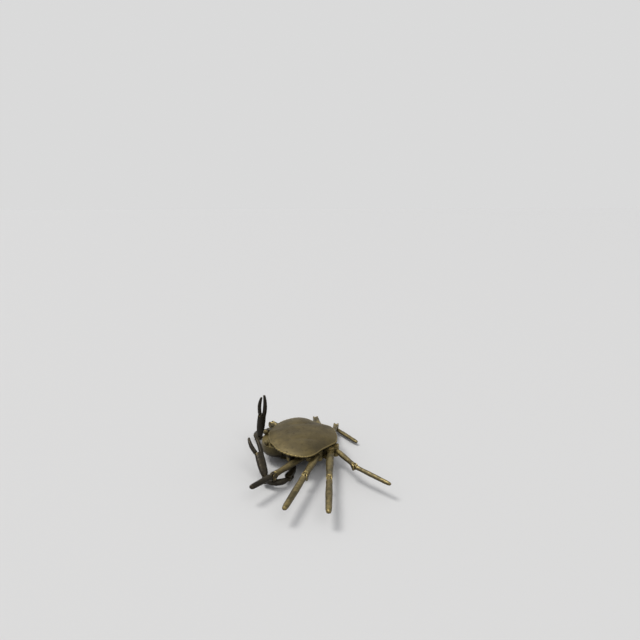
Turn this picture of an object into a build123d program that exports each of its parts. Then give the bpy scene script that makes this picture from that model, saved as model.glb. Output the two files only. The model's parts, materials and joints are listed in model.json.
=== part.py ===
from build123d import *
import math
import os

# Crab figurine of cast brass with riveted, poseable limbs, in millimetres.
# The front of the crab looks along -Y, its left side is +X, up is +Z.
# The origin is on the surface that the crab lies on, under the middle of its body.

# Levels of the body
flange_bottom = 6.6
flange_top = 9.6
slot_height = 4.8
plate_thickness = 1.6
rim_height = 17.2
dome_height = 6.0
shell_wall = 1.6

# Carapace outline and the levels of its dome
carapace_half_width = 41.5
carapace_front = 28.4
carapace_rear = 29.6
brow_half_width = 12.5
brow_bow = 1.2
tail_half_width = 16.5
rump_share = 0.9
side_shares = [(0.49, -0.89), (0.68, -0.74), (0.85, -0.52), (0.955, -0.28), (1.0, -0.05)]
tail_shares = [(0.94, 0.17), (0.74, 0.43), (0.55, 0.70)]
dome_shares = [(1.0, 0.0), (0.93, 0.3), (0.78, 0.63), (0.52, 0.9), (0.2, 1.0)]
hollow_shares = [(0.95, 0.0), (0.88, 0.26), (0.72, 0.6), (0.46, 0.88), (0.16, 1.0)]

# Belly casting
keel_half_width = 9.0
keel_half_length = 21.0
keel_flare = 1.5
flange_half_width = 22.0
flange_half_length = 27.0
flange_flare = 2.0
core_half_width = 14.5
core_half_length = 21.0

# Rivets, screws and running fits
hip_pin_radius = 1.0
limb_pin_radius = 0.8
finger_pin_radius = 0.6
pin_clearance = 0.06
side_clearance = 0.15
rivet_head_radius = 1.8
rivet_head_height = 0.8
lug_radius = 3.3
lug_gap = 0.3
screw_radius = 1.25
screw_head_radius = 2.3
screw_head_height = 1.3
screw_head_depth = 1.8
screw_spacing = 24.0
screw_boss_radius = 2.7
screw_reach = 5.0

# Face, eyes and tail flap
face_half_width = 17.0
face_front = 35.5
face_back = 19.0
face_bottom = 4.6
face_low_front = 29.0
face_low_half_width = 11.0
face_shrink = 1.0
face_wide_share = 0.72
face_deep_share = 0.93
eye_spread = 11.2
eye_forward = 31.6
eye_radius = 2.1
eye_lift = 0.1
eye_stalk_radius = 1.2
eye_stalk_setback = 1.0
flap_half_width = 4.0
flap_tip_half_width = 2.0
flap_length = 16.0
flap_start = 0.6
flap_thickness = 1.2

# Legs, front pair first
leg_hips = [(22.5, 3.3), (23.0, 11.0), (21.5, 20.6), (16.0, 25.5)]
thigh_lengths = [46.9, 40.0, 46.7, 34.8]
shin_lengths = [26.0, 51.0, 48.2, 37.6]
leg_size_shares = [1.0, 1.0, 1.0, 0.8]
thigh_width = 5.8
thigh_height = 4.0
thigh_station_shares = [(0.3, 1.0, 1.0), (0.65, 0.92, 0.95)]
thigh_root_shares = (0.8, 0.85)
thigh_end_shares = (0.86, 1.0)
shin_width = 5.0
shin_height = 3.4
shin_station_shares = [(0.3, 1.0, 1.0), (0.7, 0.92, 0.95), (0.94, 0.78, 0.8), (1.0, 0.5, 0.5)]
shin_root_shares = (0.9, 1.0)
knee_drop = 2.2
knee_ear = 1.3
knee_tongue = 1.9
knee_radius = 2.1
knee_tongue_radius = 1.7
shin_start = 2.5
shin_overlap = 1.0
fork_length = 5.0
knee_lip = 1.4
left_thigh_fall = 0.0
right_thigh_fall = 5.4

# Arms and claws
shoulder_place = (21.0, -12.0)
arm_length = 28.0
arm_drop = 6.9
arm_bulge = 2.5
arm_width = 5.4
arm_height = 4.2
limb_fall_start_share = 0.06
limb_fall_length_share = 0.55
arm_station_shares = [(0.05, 0.78, 0.72), (0.15, 0.86, 0.8), (0.3, 1.0, 0.96), (0.6, 1.05, 1.0), (0.86, 0.95, 1.0)]
elbow_radius = 2.7
elbow_ear = 1.2
elbow_tongue = 1.7
elbow_neck_length = 4.6
elbow_neck_width = 4.2
forearm_length = 17.5
forearm_bulge = 7.0
forearm_width = 5.2
forearm_height = 4.0
forearm_station_shares = [(0.17, 0.85, 0.85), (0.35, 1.0, 1.0), (0.65, 1.05, 1.0), (0.86, 0.95, 1.0)]
wrist_radius = 2.2
wrist_ear = 1.4
wrist_tongue = 1.9
wrist_fork_length = 3.9
wrist_neck_height = 3.4
palm_start = 2.6
palm_length = 24.0
palm_width = 7.0
palm_thickness = 4.2
palm_station_shares = [(0.35, 0.95, 1.0), (0.8, 1.0, 1.0), (1.0, 0.94, 0.9)]
palm_root_shares = (0.66, 0.8)
claw_length = 42.0
finger_width = 3.2
finger_thickness = 3.4
finger_gap = 0.4
finger_root_shares = (1.0, 1.0)
finger_middle_shares = (0.5, 0.92, 0.92)
finger_tip_shares = (0.45, 0.5)
finger_overlap = 1.0
finger_setback = 1.7
finger_start = 2.6
finger_tongue = 1.5
finger_tongue_width = 2.2
finger_knuckle_radius = 1.4
finger_shortfall = 2.2

# The pose in which the crab is shown, in degrees
left_swing_angles = [-41.0, -21.0, -7.5, 19.3]
left_knee_angles = [2.0, 0.0, 0.0, -2.0]
left_bend_angles = [0.0, 0.0, 0.0, 17.7]
right_swing_angles = [-38.0, -20.0, -4.0, 16.0]
right_knee_angles = [-180.0, -180.0, -180.0, -180.0]
right_bend_angles = [0.0, 0.0, 0.0, 41.6]
left_arm_angles = {"shoulder": -7.0, "elbow": -81.5, "wrist": 31.0, "roll": 0.0, "finger": 14.0}
right_arm_angles = {"shoulder": -34.5, "elbow": -114.0, "wrist": 82.0, "roll": 44.0, "finger": 3.8}

# Places that follow from the sizes above
slot_top = flange_top + slot_height
limb_height = flange_top + slot_height / 2
plate_top = slot_top + plate_thickness
lug_height = slot_height - 2 * lug_gap
hip_places = leg_hips + [shoulder_place]
screw_places = [(0.0, -screw_spacing / 2), (0.0, screw_spacing / 2)]
knee_pin_length = 2 * (knee_ear + side_clearance) + knee_tongue
elbow_pin_length = 2 * (elbow_ear + side_clearance) + elbow_tongue
wrist_pin_length = 2 * (wrist_ear + side_clearance) + wrist_tongue
finger_x = palm_length - finger_setback
finger_y = (palm_width - finger_width) / 2
standing = (Align.CENTER, Align.CENTER, Align.MIN)


def both_sides(places):
    """The places given for the left side, with their mirror images."""
    return [(side * x, y) for x, y in places for side in (1, -1)]


def upright(radius, low, high, x=0.0, y=0.0):
    """A round bar that stands from one height to another."""
    return Pos(x, y, low) * Cylinder(radius, high - low, align=standing)


def crossbar(radius, length):
    """A round bar along Y, centred on the origin."""
    return Rot(90, 0, 0) * Cylinder(radius, length)


def block(x_low, x_high, width, z_low, z_high):
    """A box between two places along X and two heights, centred in Y."""
    place = Pos((x_low + x_high) / 2, 0, (z_low + z_high) / 2)
    return place * Box(x_high - x_low, width, z_high - z_low)


def oval(x, y, z, width, height, turn=0.0):
    """An upright oval section of a limb that runs along X, turned about Z."""
    return Pos(x, y, z) * Rot(0, 0, turn) * Rot(0, 90, 0) * Ellipse(height / 2, width / 2)


def level(half_width, half_length, height):
    """A flat oval at one height of the body."""
    return Pos(0, 0, height) * Ellipse(half_width, half_length)


def outline(share, height):
    """One closed level of the carapace, the rim's own outline or a smaller copy of it."""
    half = carapace_half_width * share
    front = carapace_front * share
    rear = carapace_rear * share
    brow = (brow_half_width * share, -front)
    rump = (tail_half_width * share, rear * rump_share)
    side = [(half * along, front * across) for along, across in side_shares]
    tail = [(half * along, rear * across) for along, across in tail_shares]
    far_side = [(-x, y) for x, y in reversed(side)]
    far_tail = [(-x, y) for x, y in reversed(tail)]
    far_brow = (-brow[0], brow[1])
    far_rump = (-rump[0], rump[1])
    with BuildLine(Plane.XY.offset(height)) as edge:
        ThreePointArc(far_brow, (0, -front - brow_bow * share), brow)
        Spline(brow, *side)
        Spline(side[-1], *tail, rump)
        ThreePointArc(rump, (0, rear), far_rump)
        Spline(far_rump, *far_tail, far_side[0])
        Spline(*far_side, far_brow)
    return make_face(edge.edges())


def dome(level_shares, height):
    """A closed dome lofted through levels of the carapace."""
    return loft([outline(share, rim_height + height * rise) for share, rise in level_shares])


def make_carapace():
    """The hollow shell, with a drilled post for each body screw."""
    shell = dome(dome_shares, dome_height) - dome(hollow_shares, dome_height - shell_wall)
    for x, y in screw_places:
        shell = shell + upright(screw_boss_radius, plate_top, rim_height + dome_height - shell_wall, x, y)
    for x, y in screw_places:
        shell = shell - upright(screw_radius, plate_top, plate_top + screw_reach, x, y)
    return shell


def face_level(half_width, front, height):
    """A level of the face: a bow in front and a straight back."""
    wide = half_width * face_wide_share
    deep = front * face_deep_share
    with BuildLine(Plane.XY.offset(height)) as edge:
        Spline((-half_width, -face_back), (-wide, -deep), (0, -front), (wide, -deep), (half_width, -face_back))
        Line((half_width, -face_back), (-half_width, -face_back))
    return make_face(edge.edges())


def make_face_piece():
    """The rounded face below the brow."""
    return loft([
        face_level(face_low_half_width, face_low_front, face_bottom),
        face_level(face_half_width, face_front, (face_bottom + plate_top) / 2),
        face_level(face_half_width - face_shrink, face_front - face_shrink, plate_top),
    ])


def flap(spare):
    """The tail flap, a tapered plate let into the keel's underside."""
    wide = flap_half_width + spare
    narrow = flap_tip_half_width + spare
    near = flap_start - spare
    far = flap_start + flap_length + spare
    corners = [(-narrow, near), (narrow, near), (wide, far), (-wide, far)]
    return extrude(make_face(Polyline(*corners, close=True)), flap_thickness)


def hip_arms(low, high):
    """Arms that join every hip to the middle of the body."""
    arms = Part()
    for x, y in both_sides(hip_places):
        turn = math.degrees(math.atan2(y, x))
        arm = Rot(0, 0, turn) * block(0, math.hypot(x, y), 2 * lug_radius, low, high)
        arms = arms + arm + upright(lug_radius, low, high, x, y)
    return arms


def make_belly():
    """The narrow keel, the flange that carries the hips, and the core between them."""
    keel = loft([
        level(keel_half_width, keel_half_length, 0),
        level(keel_half_width + keel_flare, keel_half_length + keel_flare, flange_bottom),
    ])
    flange = loft([
        level(flange_half_width - flange_flare, flange_half_length - flange_flare, flange_bottom),
        level(flange_half_width, flange_half_length, flange_top),
    ])
    core = extrude(level(core_half_width, core_half_length, flange_top), slot_height)
    belly = keel + flange + core + hip_arms(flange_bottom, flange_top)
    for x, y in both_sides(hip_places):
        belly = belly - upright(hip_pin_radius, flange_bottom, flange_top, x, y)
    for x, y in screw_places:
        belly = belly - upright(screw_radius, 0, slot_top, x, y)
        belly = belly - upright(screw_head_radius, 0, screw_head_depth + screw_head_height, x, y)
    return belly - flap(side_clearance / 2) - make_face_piece()


def make_hip_plate():
    """The plate that closes the slot over the limbs' lugs."""
    plate = extrude(level(core_half_width, core_half_length, slot_top), plate_thickness)
    plate = plate + hip_arms(slot_top, plate_top)
    for x, y in both_sides(hip_places):
        plate = plate - upright(hip_pin_radius, slot_top, plate_top, x, y)
    for x, y in screw_places:
        plate = plate - upright(screw_radius, slot_top, plate_top, x, y)
    return plate - make_face_piece()


def make_hip_pins():
    """The ten upright hip and shoulder rivets, headed at both ends."""
    pins = []
    for x, y in both_sides(hip_places):
        pin = upright(hip_pin_radius, flange_bottom, plate_top, x, y)
        foot = upright(rivet_head_radius, flange_bottom - rivet_head_height, flange_bottom, x, y)
        head = upright(rivet_head_radius, plate_top, plate_top + rivet_head_height, x, y)
        pins.append(pin + foot + head)
    return Compound(children=pins)


def make_body_screws():
    """The two screws that hold belly, hip plate and carapace together."""
    screws = []
    for x, y in screw_places:
        shank = upright(screw_radius, screw_head_depth, plate_top + screw_reach, x, y)
        head = upright(screw_head_radius, screw_head_depth, screw_head_depth + screw_head_height, x, y)
        screws.append(shank + head)
    return Compound(children=screws)


def make_eye():
    """An eyeball on a short stalk that stands on the face."""
    height = plate_top + eye_radius + eye_lift
    ball = Pos(eye_spread, -eye_forward, height) * Sphere(eye_radius)
    stalk = upright(eye_stalk_radius, plate_top, height, eye_spread, -eye_forward + eye_stalk_setback)
    return ball + stalk


def fall_share(share):
    """How much of its whole slope a limb's middle line has fallen at a share of its length."""
    run = min(max((share - limb_fall_start_share) / limb_fall_length_share, 0), 1)
    return (1 - math.cos(math.pi * run)) / 2


def make_thigh(length, share, fall):
    """A thigh along X from its lug to a fork whose pin lies at the lower edge."""
    width = thigh_width * share
    height = thigh_height * share
    root_width_share, root_height_share = thigh_root_shares
    end_width_share, end_height_share = thigh_end_shares
    sections = [oval(lug_radius / 2, 0, 0, width * root_width_share, height * root_height_share)]
    for along, wide, high in thigh_station_shares:
        sections.append(oval(length * along, 0, -fall * fall_share(along), width * wide, height * high))
    for x in (length - fork_length, length + knee_lip):
        sections.append(oval(x, 0, -fall, width * end_width_share, height * end_height_share))
    drop = fall + knee_drop * share
    fork = block(length - fork_length, length, knee_pin_length, -drop, -fall)
    knuckle = Pos(length, 0, -drop) * crossbar(knee_radius * share, knee_pin_length)
    thigh = Cylinder(lug_radius, lug_height) + loft(sections) + fork + knuckle
    reach = shin_start + side_clearance
    gap = knee_tongue + 2 * side_clearance
    thigh = thigh - block(length - reach, length + reach, gap, -thigh_height - drop, thigh_height - fall)
    thigh = thigh - Pos(length, 0, -drop) * crossbar(limb_pin_radius, knee_pin_length)
    return thigh - Cylinder(hip_pin_radius + pin_clearance, lug_height)


def make_shin(length, share, bend):
    """A shin whose knee pin is at the origin, below its own middle line, bent beyond its tongue."""
    width = shin_width * share
    height = shin_height * share
    drop = knee_drop * share
    root_width_share, root_height_share = shin_root_shares
    sections = [oval(shin_start, 0, drop, width * root_width_share, height * root_height_share)]
    for along, wide, high in shin_station_shares:
        reach = length * along - shin_start
        section = oval(reach, 0, drop, width * wide, height * high)
        sections.append(Pos(shin_start, 0, 0) * Rot(0, 0, bend) * section)
    tongue_radius = knee_tongue_radius * share
    neck = block(0, shin_start + shin_overlap, knee_tongue, drop - height / 2, drop + height / 4)
    shin = loft(sections) + neck + crossbar(tongue_radius, knee_tongue)
    return shin - crossbar(limb_pin_radius + pin_clearance, knee_tongue)


def arc_place(share, chord, bulge):
    """A place and heading on a circular arc from the origin to (chord, 0)."""
    half_turn = 2 * math.atan2(2 * bulge, chord)
    radius = chord / (2 * math.sin(half_turn))
    angle = half_turn - 2 * half_turn * share
    x = chord / 2 - radius * math.sin(angle)
    y = radius * (math.cos(angle) - math.cos(half_turn))
    return x, y, math.degrees(angle)


def make_upper_arm():
    """The upper arm, sloping down from its lug to a fork with an upright elbow pin."""
    sections = []
    for share, wide, high in arm_station_shares:
        x, y, heading = arc_place(share, arm_length, arm_bulge)
        drop = arm_drop * fall_share(share)
        sections.append(oval(x, y, -drop, arm_width * wide, arm_height * high, heading))
    heading = arc_place(1, arm_length, arm_bulge)[2]
    elbow = Pos(arm_length, 0, -arm_drop) * Rot(0, 0, heading)
    half = elbow_pin_length / 2
    fork = block(-fork_length, 0, 2 * elbow_radius, -half, half) + Cylinder(elbow_radius, elbow_pin_length)
    gap = elbow_tongue / 2 + side_clearance
    reach = elbow_radius + side_clearance
    slot = block(-reach, reach, 2 * reach, -gap, gap)
    arm = Cylinder(lug_radius, lug_height) + loft(sections) + elbow * fork
    arm = arm - elbow * slot - elbow * Cylinder(limb_pin_radius, elbow_pin_length)
    return arm - Cylinder(hip_pin_radius + pin_clearance, lug_height)


def make_forearm():
    """The hooked forearm, from its elbow tongue to a fork with a level wrist pin."""
    sections = []
    for share, wide, high in forearm_station_shares:
        x, y, heading = arc_place(share, forearm_length, forearm_bulge)
        sections.append(oval(x, y, 0, forearm_width * wide, forearm_height * high, heading))
    start = arc_place(0, forearm_length, forearm_bulge)[2]
    half = elbow_tongue / 2
    neck = Rot(0, 0, start) * block(0, elbow_neck_length, elbow_neck_width, -half, half)
    tongue = Cylinder(elbow_radius - side_clearance, elbow_tongue)
    x, y, heading = arc_place(1, forearm_length, forearm_bulge)
    wrist = Pos(x, y, 0) * Rot(0, 0, heading)
    fork = block(-wrist_fork_length, 0, wrist_pin_length, -wrist_radius, wrist_radius)
    fork = fork + crossbar(wrist_radius, wrist_pin_length)
    reach = wrist_radius + side_clearance
    slot = block(-reach, reach, wrist_tongue + 2 * side_clearance, -reach, reach)
    forearm = loft(sections) + neck + tongue + wrist * fork
    forearm = forearm - wrist * slot - wrist * crossbar(limb_pin_radius, wrist_pin_length)
    return forearm - Cylinder(limb_pin_radius + pin_clearance, elbow_tongue)


def make_palm(roll):
    """The palm with its fixed finger, rolled on its neck; the wrist pin is at the origin."""
    root_width_share, root_height_share = palm_root_shares
    sections = [oval(palm_start, 0, 0, palm_width * root_width_share, palm_thickness * root_height_share)]
    for along, wide, high in palm_station_shares:
        sections.append(oval(palm_length * along, 0, 0, palm_width * wide, palm_thickness * high))
    along, wide, high = finger_middle_shares
    root_width_share, root_height_share = finger_root_shares
    tip_width_share, tip_height_share = finger_tip_shares
    middle = palm_length + (claw_length - palm_length) * along
    fixed = loft([
        oval(palm_length - finger_overlap, -finger_y, 0, finger_width * root_width_share,
             finger_thickness * root_height_share),
        oval(middle, -finger_y, 0, finger_width * wide, finger_thickness * high),
        oval(claw_length, -finger_gap, 0, finger_width * tip_width_share, finger_thickness * tip_height_share),
    ])
    gap = finger_tongue / 2 + side_clearance
    seat_radius = finger_knuckle_radius + side_clearance
    seat = Pos(finger_x, finger_y, 0) * Cylinder(seat_radius, 2 * gap)
    mouth = Pos(0, finger_y, 0) * block(finger_x, claw_length, 2 * seat_radius, -gap, gap)
    hand = loft(sections) + fixed - seat - mouth
    hand = hand - Pos(finger_x, finger_y, 0) * Cylinder(finger_pin_radius, palm_thickness)
    neck = block(0, palm_start + finger_overlap, wrist_tongue, -wrist_neck_height / 2, wrist_neck_height / 2)
    palm = Rot(roll, 0, 0) * hand + neck + crossbar(wrist_radius - side_clearance, wrist_tongue)
    return palm - crossbar(limb_pin_radius + pin_clearance, wrist_tongue)


def make_finger():
    """The movable finger, with its pin at the origin."""
    along, wide, high = finger_middle_shares
    root_width_share, root_height_share = finger_root_shares
    tip_width_share, tip_height_share = finger_tip_shares
    reach = claw_length - finger_x - finger_shortfall
    blade = loft([
        oval(finger_start, 0, 0, finger_width * root_width_share, finger_thickness * root_height_share),
        oval(reach * along, 0, 0, finger_width * wide, finger_thickness * high),
        oval(reach, finger_gap - finger_y, 0, finger_width * tip_width_share,
             finger_thickness * tip_height_share),
    ])
    half = finger_tongue / 2
    neck = block(0, finger_start + finger_overlap, finger_tongue_width, -half, half)
    finger = blade + neck + Cylinder(finger_knuckle_radius, finger_tongue)
    return finger - Cylinder(finger_pin_radius + pin_clearance, finger_tongue)


def finish(piece, side):
    """A piece made for the left side, mirrored if it belongs on the right."""
    return piece if side > 0 else mirror(piece, about=Plane.YZ)


def leg_nodes(side, word, fall, swings, knees, bends):
    """Thigh, knee pin and shin of the four legs on one side, in the shown pose."""
    nodes = {}
    for index, (x, y) in enumerate(leg_hips):
        share = leg_size_shares[index]
        length = thigh_lengths[index]
        hip = Pos(x, y, limb_height) * Rot(0, 0, swings[index])
        knee = hip * Pos(length, 0, -fall - knee_drop * share)
        name = f"{word}_leg_{index + 1}"
        nodes[f"{name}_thigh"] = finish(hip * make_thigh(length, share, fall), side)
        nodes[f"{name}_knee_pin"] = finish(knee * crossbar(limb_pin_radius, knee_pin_length), side)
        shin = knee * Rot(0, -knees[index], 0) * make_shin(shin_lengths[index], share, bends[index])
        nodes[f"{name}_shin"] = finish(shin, side)
    return nodes


def arm_nodes(side, word, pose):
    """The pieces and pins of one arm, in the shown pose."""
    x, y = shoulder_place
    shoulder = Pos(x, y, limb_height) * Rot(0, 0, pose["shoulder"])
    elbow = shoulder * Pos(arm_length, 0, -arm_drop)
    forearm = elbow * Rot(0, 0, pose["elbow"])
    wrist_x, wrist_y, heading = arc_place(1, forearm_length, forearm_bulge)
    fork = forearm * Pos(wrist_x, wrist_y, 0) * Rot(0, 0, heading)
    wrist = fork * Rot(0, -pose["wrist"], 0)
    knuckle = wrist * Rot(pose["roll"], 0, 0) * Pos(finger_x, finger_y, 0)
    pieces = {
        "upper_arm": shoulder * make_upper_arm(),
        "elbow_pin": elbow * Cylinder(limb_pin_radius, elbow_pin_length),
        "forearm": forearm * make_forearm(),
        "wrist_pin": fork * crossbar(limb_pin_radius, wrist_pin_length),
        "palm": wrist * make_palm(pose["roll"]),
        "finger_pin": knuckle * Cylinder(finger_pin_radius, finger_thickness),
        "finger": knuckle * Rot(0, 0, pose["finger"]) * make_finger(),
    }
    return {f"{word}_{name}": finish(piece, side) for name, piece in pieces.items()}


def all_nodes():
    """Every node of the crab by name."""
    nodes = {
        "carapace": make_carapace(),
        "belly": make_belly(),
        "hip_plate": make_hip_plate(),
        "face": make_face_piece(),
        "left_eye": make_eye(),
        "right_eye": finish(make_eye(), -1),
        "tail_flap": flap(0),
        "hip_pins": make_hip_pins(),
        "body_screws": make_body_screws(),
    }
    left = (left_thigh_fall, left_swing_angles, left_knee_angles, left_bend_angles)
    right = (right_thigh_fall, right_swing_angles, right_knee_angles, right_bend_angles)
    nodes.update(leg_nodes(1, "left", *left))
    nodes.update(leg_nodes(-1, "right", *right))
    nodes.update(arm_nodes(1, "left", left_arm_angles))
    nodes.update(arm_nodes(-1, "right", right_arm_angles))
    return nodes


os.makedirs("parts", exist_ok=True)
for name, solid in all_nodes().items():
    export_step(solid, f"parts/{name}.step")
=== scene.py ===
import json
import math

import bpy
import numpy as np
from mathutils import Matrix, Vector


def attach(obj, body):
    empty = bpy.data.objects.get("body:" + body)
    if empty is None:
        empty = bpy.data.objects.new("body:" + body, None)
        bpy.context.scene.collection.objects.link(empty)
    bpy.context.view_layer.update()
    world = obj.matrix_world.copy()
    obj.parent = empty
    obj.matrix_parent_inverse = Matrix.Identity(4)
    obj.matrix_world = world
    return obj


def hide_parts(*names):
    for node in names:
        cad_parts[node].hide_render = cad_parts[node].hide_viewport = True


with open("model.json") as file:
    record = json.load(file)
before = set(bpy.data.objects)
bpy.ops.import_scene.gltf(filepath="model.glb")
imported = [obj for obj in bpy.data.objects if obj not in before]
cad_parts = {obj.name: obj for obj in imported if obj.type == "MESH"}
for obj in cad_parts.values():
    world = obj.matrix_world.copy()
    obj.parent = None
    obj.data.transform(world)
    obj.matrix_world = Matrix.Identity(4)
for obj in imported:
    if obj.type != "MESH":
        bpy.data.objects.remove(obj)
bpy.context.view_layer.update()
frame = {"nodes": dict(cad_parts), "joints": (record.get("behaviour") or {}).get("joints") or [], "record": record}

bl_info = {
    "name": "Brass crab figurine",
    "version": (1, 1, 0),
    "blender": (4, 5, 0),
    "location": "3D View > Sidebar > Crab",
    "description": "Dresses a riveted brass crab with its shell, limbs, claws and aged finishes",
    "category": "Object",
}

joints = {joint["name"]: joint for joint in frame["joints"]}
up = np.array((0.0, 0.0, 1.0))
sides = {"left": 1.0, "right": -1.0}

# How large each leg is, from the front
leg_size_shares = (1.0, 1.0, 1.0, 0.8)

# Shares that shape the limbs, each as (share of the length, share of the width, share of the height)
thigh_shape_shares = ((0.0, 0.62, 0.7), (0.06, 0.84, 0.9), (0.3, 1.06, 1.06), (0.65, 0.98, 1.03),
                      (0.86, 0.88, 0.96), (0.93, 0.92, 1.02), (1.0, 0.86, 0.98))
shin_shape_shares = ((0.0, 0.86, 0.92), (0.05, 1.02, 1.1), (0.12, 0.98, 1.02), (0.35, 1.06, 1.06),
                     (0.7, 0.97, 1.0), (0.93, 0.84, 0.88), (1.0, 0.66, 0.7))
arm_shape_shares = ((0.0, 0.7, 0.7), (0.15, 0.9, 0.86), (0.35, 1.06, 1.02), (0.6, 1.1, 1.06),
                    (0.86, 1.0, 1.06), (1.0, 0.9, 0.96))
forearm_shape_shares = ((0.0, 0.74, 0.74), (0.2, 1.0, 1.0), (0.5, 1.1, 1.06), (0.8, 1.02, 1.04),
                        (1.0, 0.9, 0.94))
palm_shape_shares = ((0.0, 0.62, 0.78), (0.12, 0.84, 1.0), (0.4, 1.0, 1.08), (0.8, 1.04, 1.04),
                     (1.0, 0.94, 0.9))
finger_shape_shares = ((0.0, 1.0, 0.96), (0.3, 1.06, 1.04), (0.6, 0.96, 0.96), (0.85, 0.76, 0.78),
                       (1.0, 0.56, 0.62))

# Outlines about a pin, each as (angle in degrees, reach as a share of the outline's own reach)
ear_outline_shares = ((-180, 1.25), (-166, 0.96), (-90, 0.96), (-20, 0.96), (20, 1.0), (50, 1.35),
                      (72, 1.72), (90, 1.82), (120, 2.1), (136, 2.5), (155, 2.15), (172, 1.9), (180, 1.25))
tongue_outline_shares = ((-180, 0.77), (-20, 0.77), (2, 1.1), (10, 1.65), (38, 2.3), (60, 2.05), (90, 1.8),
                         (112, 1.88), (124, 1.2), (140, 0.85), (180, 0.77))
round_outline_shares = ((-180, 1), (180, 1))

# How finely the surfaces are divided
ring_points = 48
leg_rings = 60
arm_rings = 50
outline_points = 72
bevel_rings = 5
rim_points = 540
crown_rings = 64
edge_rings = 14
hollow_rings = 48

# How a limb's surface is rounded: powers of its oval, rings drawn to its ends, and blunt ends as shares
across_power = 0.85
rise_power = 0.9
ridge_power = 8
crowding_share = 0.35
end_ring_share = 0.08
limb_blunt_share = 0.45
thigh_blunt_share = 0.12
finger_blunt_share = 0.3

# Ripples of a casting, each as (share of the size, radians along the limb, waves round it)
ripple_shares = ((0.012, 31, 2), (0.010, 57, -3), (0.006, 113, 5))

# Where a limb slopes, where each arm skin starts and ends, and how much of the claw's bow a finger has
fall_start_share = 0.06
fall_length_share = 0.55
upper_arm_span_shares = (0.1, 0.9)
forearm_span_shares = (0.17, 0.86)
fixed_bow_share = 0.5
moving_bow_share = 0.8

# The shell's curves, and places on it as shares of the way out to the rim
dome_power = 2.5
dome_fullness = 0.62
hollow_power = 2.2
hollow_fullness = 0.7
crown_shares = (0.02, 0.9)
edge_shares = (0.912, 1.0)
hollow_shares = (0.955, 0.02)
hollow_reach_share = 0.97
tooth_root_share = 0.965
lip_share = 0.985
lip_spread_share = 0.012
# Where the rim's bare band, rubbed metal with a painted highlight, lies and how wide it is
polish_share = 0.988
polish_spread_share = 0.010
bead_level_share = 0.72

# The rim: waves kept in its outline, degrees from the front that are toothed, and the teeth's shape
rim_waves = 18
toothed_angles = (30, 92)
tooth_fade = 9
tooth_power = 0.8

# Relief on both sides of the shell, each as (height, distance from the middle, spread across, lean, place
# along, spread along, tilt), in metres, with the lean and the tilt as slopes
shell_relief = {
    "groove": (-0.00035, 0.01598, 0.0028, 0.12, 0.0, 0.013, 0.0),
    "brow": (-0.0003, 0.0, 0.013, 0.0, -0.0125, 0.0022, 0.0),
    "gut": (0.0003, 0.0085, 0.0050, 0.0, -0.006, 0.006, 0.0),
    "gill": (0.0004, 0.0255, 0.0070, 0.0, -0.002, 0.009, 0.0),
    "crease": (-0.00035, 0.0170, 0.0065, 0.0, -0.0195, 0.0011, 0.05),
}
relief_fade = 6

# How dark a piece's own points are, from 0 to 1: painted shade on the shell's inside and on its posts, and darker
# patina on the dark leg's ears and thigh
hollow_shade_tone = 0.8
post_shade_tone = 0.6
dark_ear_tone = 0.7
dark_thigh_tone = 0.3

# Lengths in metres: how near a point lies to the rim's height or to a tip to count, and the grain's depth
rim_band = 0.0003
tip_band = 0.0004
grain_depth = 0.00022

# The lamps, each as (name, place that it shines from, spread in radians, power)
lamps = (("key_lamp", (-0.30, -0.40, 0.85), 0.45, 1.45),
         ("fill_lamp", (0.55, 0.30, 0.70), 0.7, 0.50))
sensor_width_mm = 36.0


def unit(vector):
    """A vector divided by its own length."""
    return vector / np.linalg.norm(vector)


def place_of(joint):
    """Where a joint's pivot is, in metres."""
    return np.array(joints[joint]["pos_m"])


def node_points(name):
    """A CAD node's corner points as one array."""
    mesh = frame["nodes"][name].data
    points = np.empty(len(mesh.vertices) * 3)
    mesh.vertices.foreach_get("co", points)
    return points.reshape(-1, 3)


def smooth_curve(stations, along):
    """Values at places along a limb: cubics through the stations, with slopes from their neighbours."""
    xs = np.array([row[0] for row in stations])
    ys = np.array([row[1] for row in stations])
    slopes = np.gradient(ys, xs)
    index = np.clip(np.searchsorted(xs, along) - 1, 0, len(xs) - 2)
    step = xs[index + 1] - xs[index]
    t = np.clip((along - xs[index]) / step, 0.0, 1.0)
    start = (1 + 2 * t) * (1 - t) ** 2 * ys[index] + t * (1 - t) ** 2 * step * slopes[index]
    end = t ** 2 * (3 - 2 * t) * ys[index + 1] + t ** 2 * (t - 1) * step * slopes[index + 1]
    return start + end


def outward(points, quads, fans):
    """A closed surface with its faces turned so that the volume they hold, a sum of wedges, is positive."""
    triangles = np.concatenate([quads[:, :3], quads[:, [0, 2, 3]], fans])
    a, b, c = (points[triangles[:, k]] for k in range(3))
    if np.einsum("ij,ij->i", a, np.cross(b, c)).sum() < 0:
        return points, quads[:, ::-1], fans[:, ::-1]
    return points, quads, fans


def add_piece(name, surfaces, body, material):
    """Make an object from closed surfaces, each rings of points and a tone, and let it ride on a body."""
    all_points, all_faces, tones = [], [], []
    count = 0
    for rings, tone in surfaces:
        points, quads, fans = outward(*closed_grid(rings))
        all_faces += (quads + count).tolist() + (fans + count).tolist()
        all_points.append(points)
        tones.append(np.broadcast_to(tone, len(points)))
        count += len(points)
    mesh = bpy.data.meshes.new(name)
    mesh.from_pydata(np.concatenate(all_points).tolist(), [], all_faces)
    mesh.polygons.foreach_set("use_smooth", np.ones(len(all_faces), dtype=bool))
    mesh.attributes.new("tone", "FLOAT", "POINT").data.foreach_set("value", np.concatenate(tones))
    mesh.materials.append(material)
    mesh.update()
    piece = bpy.data.objects.new(name, mesh)
    bpy.context.scene.collection.objects.link(piece)
    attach(piece, body)
    return piece


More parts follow.
